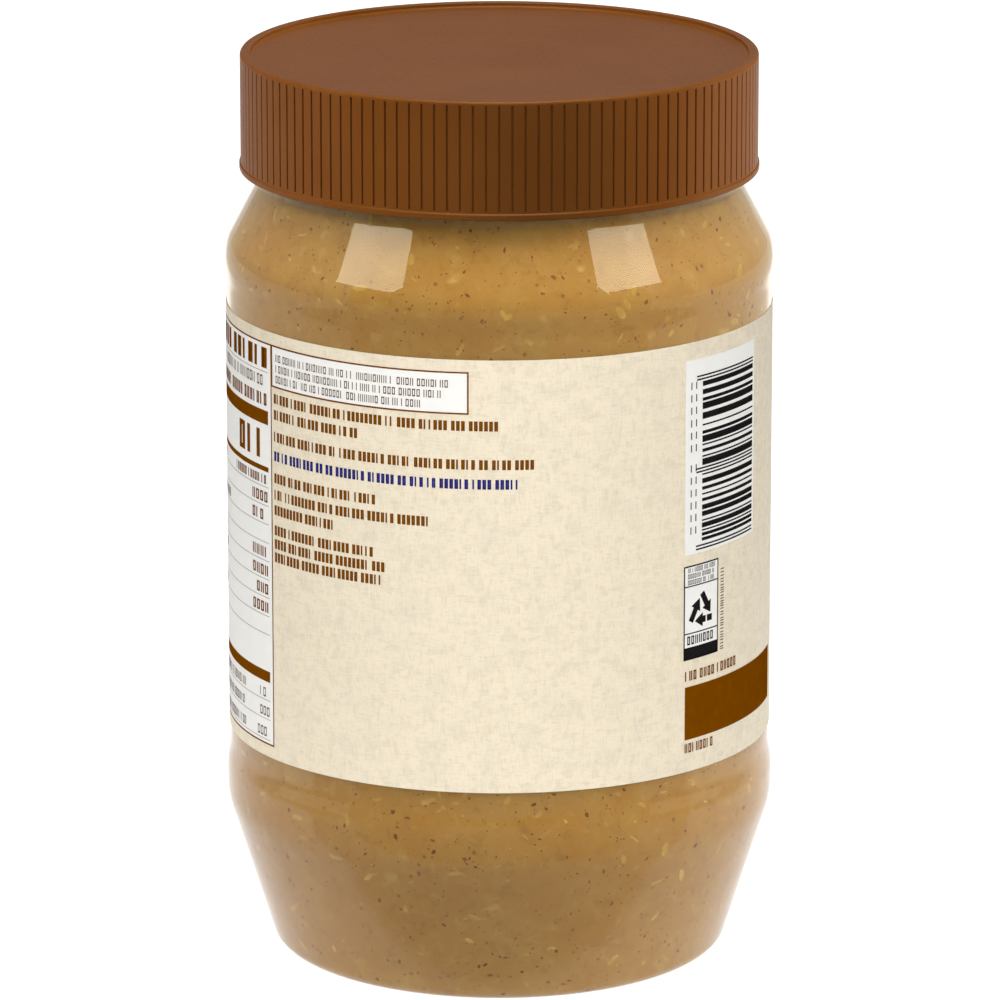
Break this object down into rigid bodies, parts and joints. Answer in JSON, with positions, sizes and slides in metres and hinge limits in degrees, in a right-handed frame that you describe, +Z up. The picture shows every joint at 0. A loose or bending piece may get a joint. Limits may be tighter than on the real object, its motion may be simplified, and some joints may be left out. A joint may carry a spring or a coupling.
{
  "type": "peanut butter jar",
  "caption": "Clear plastic jar of peanut butter with a brown ribbed screw lid and a cream wrap-around label.",
  "frame": {"origin": "centre of the ring that the jar stands on, at ground level", "axes": "+Z up along the jar's axis, -Y towards the viewer, who faces the text side of the label"},
  "size_m": [0.0988, 0.0988, 0.1642],
  "materials": {
    "jar_plastic": "clear gloss PET",
    "peanut_butter": "smooth paste seen through the jar",
    "label_film": "satin printed film",
    "lid_plastic": "satin moulded polypropylene"
  },
  "bodies": {
    "root": {"jar": "jar_plastic", "peanut_butter": "peanut_butter", "label": "label_film", "lid": "lid_plastic"}
  },
  "joints": []
}
